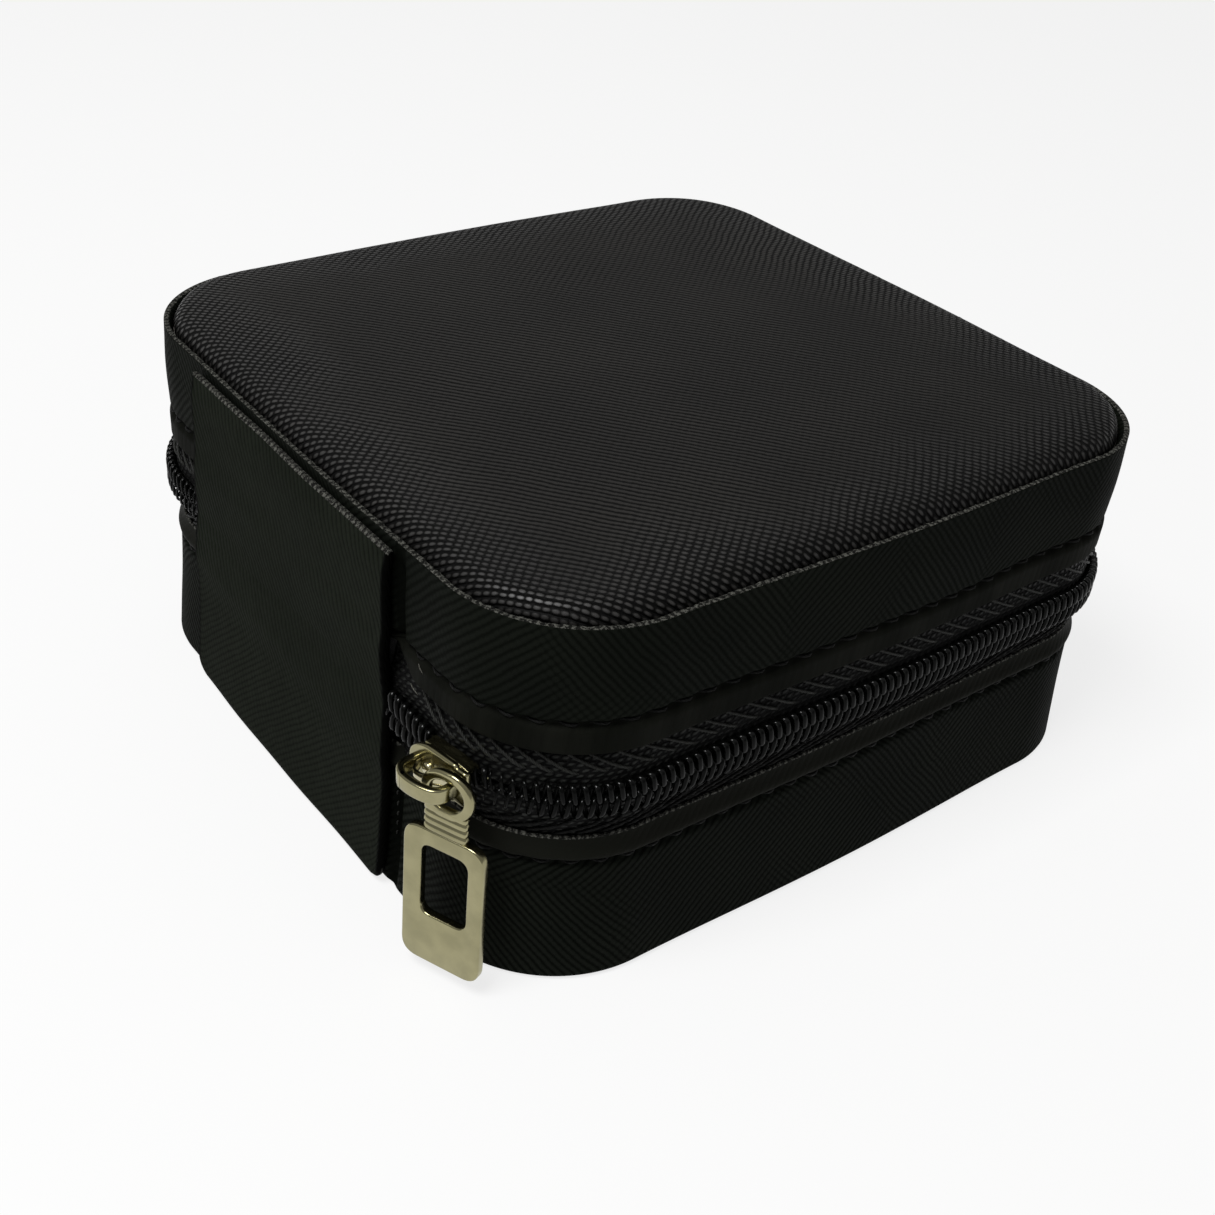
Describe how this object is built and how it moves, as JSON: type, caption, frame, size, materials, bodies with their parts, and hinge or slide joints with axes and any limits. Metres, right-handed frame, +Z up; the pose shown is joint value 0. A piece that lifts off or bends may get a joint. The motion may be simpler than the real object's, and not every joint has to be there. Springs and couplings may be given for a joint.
{
  "type": "leather jewellery case",
  "caption": "Square travel jewellery case with two leather-covered trays, a leather spine, a zip round three sides and a windowed pull tab.",
  "frame": {"origin": "centre of the bottom face, midway between the side bands", "axes": "+Z up, +Y towards the leather spine, +X towards the side away from the zip slider"},
  "size_m": [0.1026, 0.1116, 0.0516],
  "materials": {
    "leather": "black cross-grained leather, semi-matte with fine gloss on the grain",
    "board": "dense grey pulp board",
    "foam": "soft padding foam",
    "velvet": "black short-pile velvet",
    "zip_tape": "black woven polyester tape",
    "zip_coil": "glossy black nylon coil",
    "nickel": "pale champagne nickel plate"
  },
  "bodies": {
    "base": {"base_bottom_panel": "leather", "base_shell": "board", "base_side_band": "leather", "base_lining": "velvet", "centre_partition": "velvet", "ring_roll_1": "velvet", "ring_roll_2": "velvet", "ring_roll_3": "velvet", "ring_roll_4": "velvet", "ring_roll_5": "velvet", "zip_tape_lower": "zip_tape", "zip_coil_lower": "zip_coil", "zip_joined_links": "zip_coil", "spine_lower": "leather", "hinge_strip_lower": "velvet"},
    "lid": {"lid_side_band": "leather", "lid_shell": "board", "lid_foam": "foam", "lid_top_cover": "leather", "lid_lining": "velvet", "zip_tape_upper": "zip_tape", "zip_coil_upper": "zip_coil", "spine_upper": "leather", "hinge_strip_upper": "velvet", "hook_strip": "leather", "snap_studs": "nickel", "lid_pocket": "velvet", "pocket_elastic": "velvet"},
    "slider": {"slider_body": "nickel", "slider_bridge": "nickel", "slider_lock_rivet": "nickel"},
    "pull": {"zip_pull": "nickel"},
    "left_divider": {"divider_left": "velvet"},
    "right_divider": {"divider_right": "velvet"},
    "hook_1": {"chain_hook_1": "leather", "snap_cap_1": "nickel"},
    "hook_2": {"chain_hook_2": "leather", "snap_cap_2": "nickel"},
    "hook_3": {"chain_hook_3": "leather", "snap_cap_3": "nickel"}
  },
  "joints": [
    {"name": "lid_hinge", "type": "hinge", "parent": "base", "child": "lid", "pos_m": [0, 0.0542, 0.0271], "axis": [-1, 0, 0], "range_deg": [0, 150]},
    {"name": "slider_run", "type": "hinge", "parent": "base", "child": "slider", "pos_m": [-0.033, 0.035, 0.0271], "axis": [0, 0, 1], "range_deg": [0, 64]},
    {"name": "pull_swing", "type": "hinge", "parent": "slider", "child": "pull", "pos_m": [-0.03969, 0.05459, 0.0271], "axis": [-0.323, 0.9464, 0], "range_deg": [-20, 100]},
    {"name": "left_divider_lift", "type": "slide", "parent": "base", "child": "left_divider", "axis": [0, 0, 1], "range_m": [0, 0.017]},
    {"name": "right_divider_lift", "type": "slide", "parent": "base", "child": "right_divider", "axis": [0, 0, 1], "range_m": [0, 0.017]},
    {"name": "hook_1_fold", "type": "hinge", "parent": "lid", "child": "hook_1", "pos_m": [-0.02, -0.0397, 0.0441], "axis": [-1, 0, 0], "range_deg": [0, 90]},
    {"name": "hook_2_fold", "type": "hinge", "parent": "lid", "child": "hook_2", "pos_m": [0, -0.0397, 0.0441], "axis": [-1, 0, 0], "range_deg": [0, 90]},
    {"name": "hook_3_fold", "type": "hinge", "parent": "lid", "child": "hook_3", "pos_m": [0.02, -0.0397, 0.0441], "axis": [-1, 0, 0], "range_deg": [0, 90]}
  ]
}
